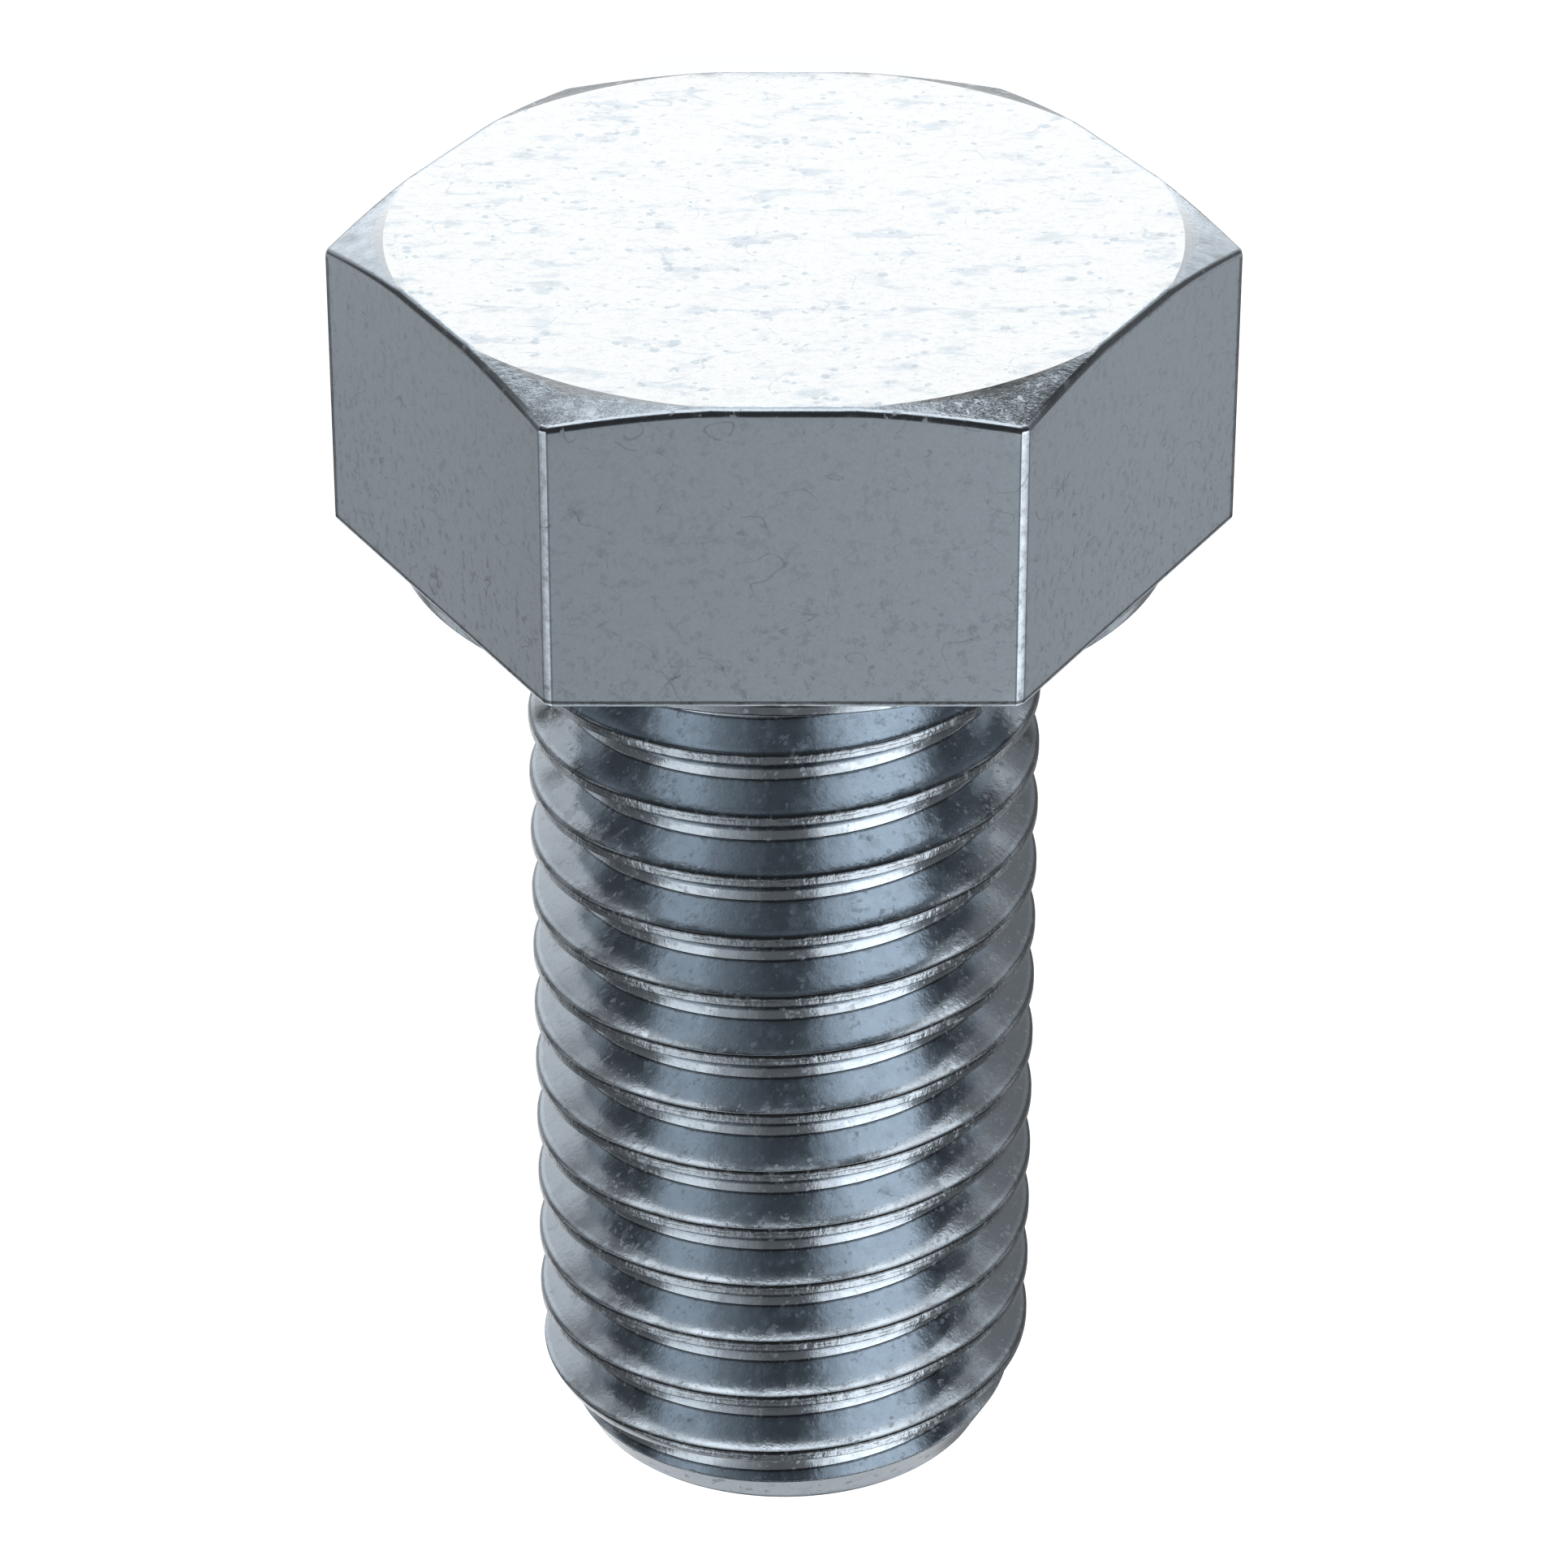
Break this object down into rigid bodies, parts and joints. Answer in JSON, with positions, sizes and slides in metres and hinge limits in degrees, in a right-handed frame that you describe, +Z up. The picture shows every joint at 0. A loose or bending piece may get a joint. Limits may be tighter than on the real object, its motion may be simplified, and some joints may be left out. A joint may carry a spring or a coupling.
{
  "type": "hex head cap screw",
  "caption": "Hex head cap screw with a washer face, a fully threaded shank and a cone point, lying at rest on a flat of its head.",
  "frame": {"origin": "centre of the bounding box at its base, on the surface that the screw lies on", "axes": "+Y towards the head, +Z up; the screw's own axis lies in the YZ plane and rises 7.60 degrees from -Y, the point, to +Y, the head"},
  "size_m": [0.0328, 0.0524, 0.0298],
  "materials": {
    "zinc_plated_steel": "clear zinc plate, satin to bright, cool grey with a blue cast, fine specks and light handling scratches"
  },
  "bodies": {
    "root": {"hex_cap_screw": "zinc_plated_steel"}
  },
  "joints": []
}
